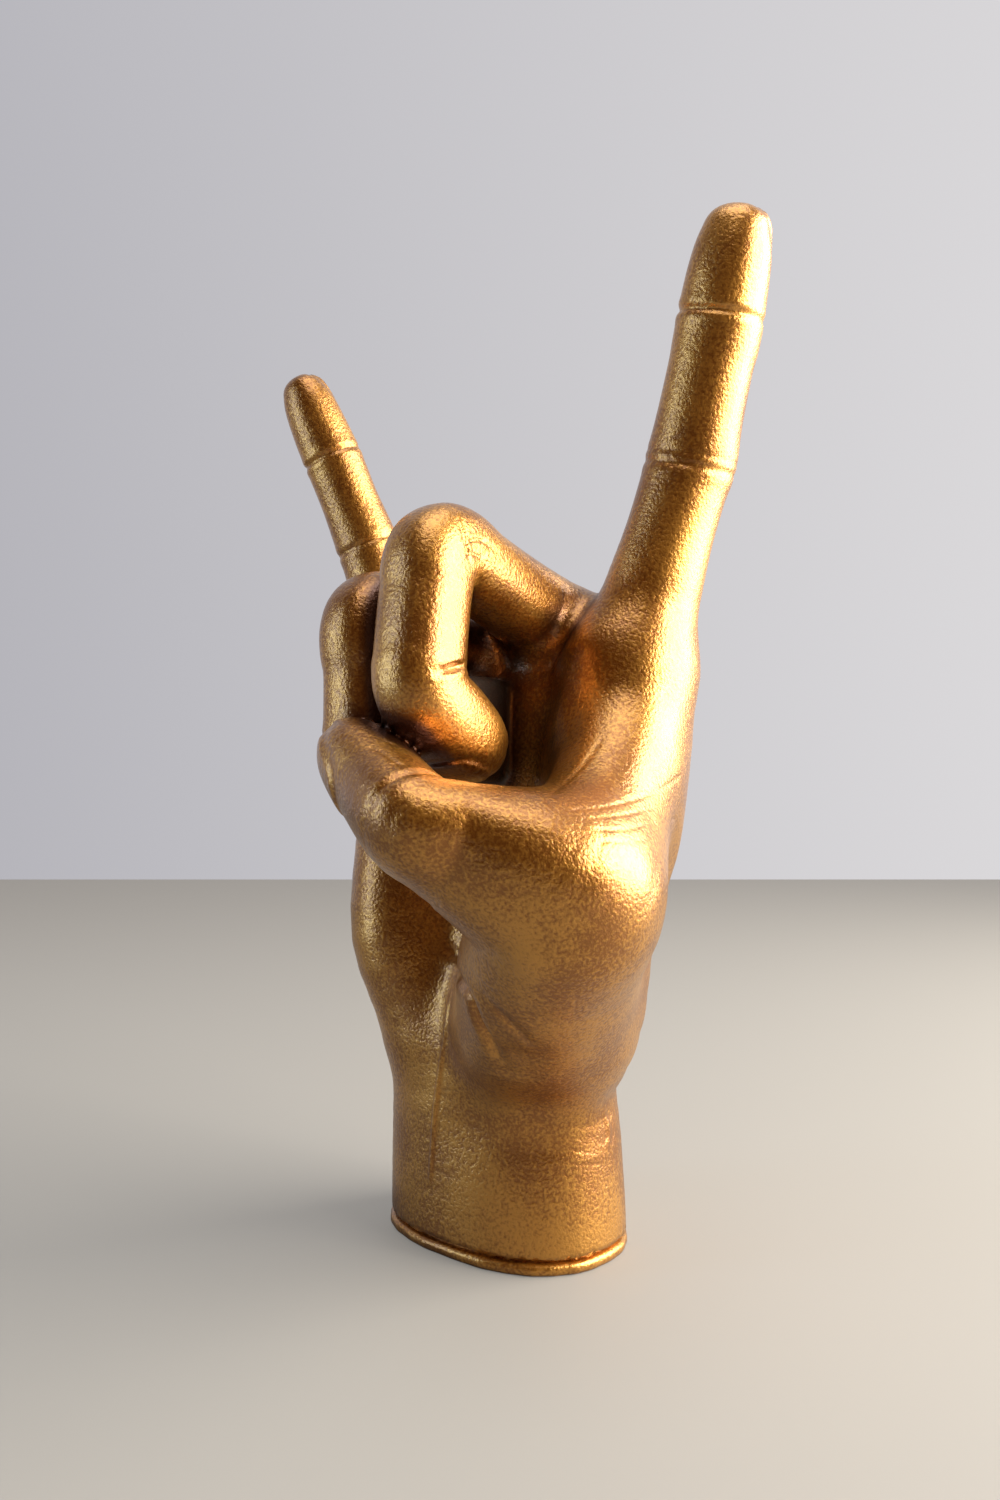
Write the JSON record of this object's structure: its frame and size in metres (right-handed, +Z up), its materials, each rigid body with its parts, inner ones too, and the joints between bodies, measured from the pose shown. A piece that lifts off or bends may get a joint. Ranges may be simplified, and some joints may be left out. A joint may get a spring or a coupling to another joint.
{
  "type": "ceramic hand sculpture",
  "caption": "Life-size hollow ceramic right hand that stands on its wrist, index and little finger raised, middle and ring finger curled under the thumb.",
  "frame": {"origin": "middle of the flat underside of the base plate", "axes": "+Z up along the forearm, the palm faces -Y, the thumb and the index finger are on the +X side"},
  "size_m": [0.119, 0.0863, 0.2309],
  "materials": {
    "gold_painted_ceramic": "satin metallic gold paint over fired clay",
    "gold_painted_base": "the same gold paint, a little rougher at the edge"
  },
  "bodies": {
    "root": {"palm_shell": "gold_painted_ceramic", "index_finger": "gold_painted_ceramic", "middle_finger": "gold_painted_ceramic", "ring_finger": "gold_painted_ceramic", "little_finger": "gold_painted_ceramic", "thumb": "gold_painted_ceramic", "base_plate": "gold_painted_base"}
  },
  "joints": []
}
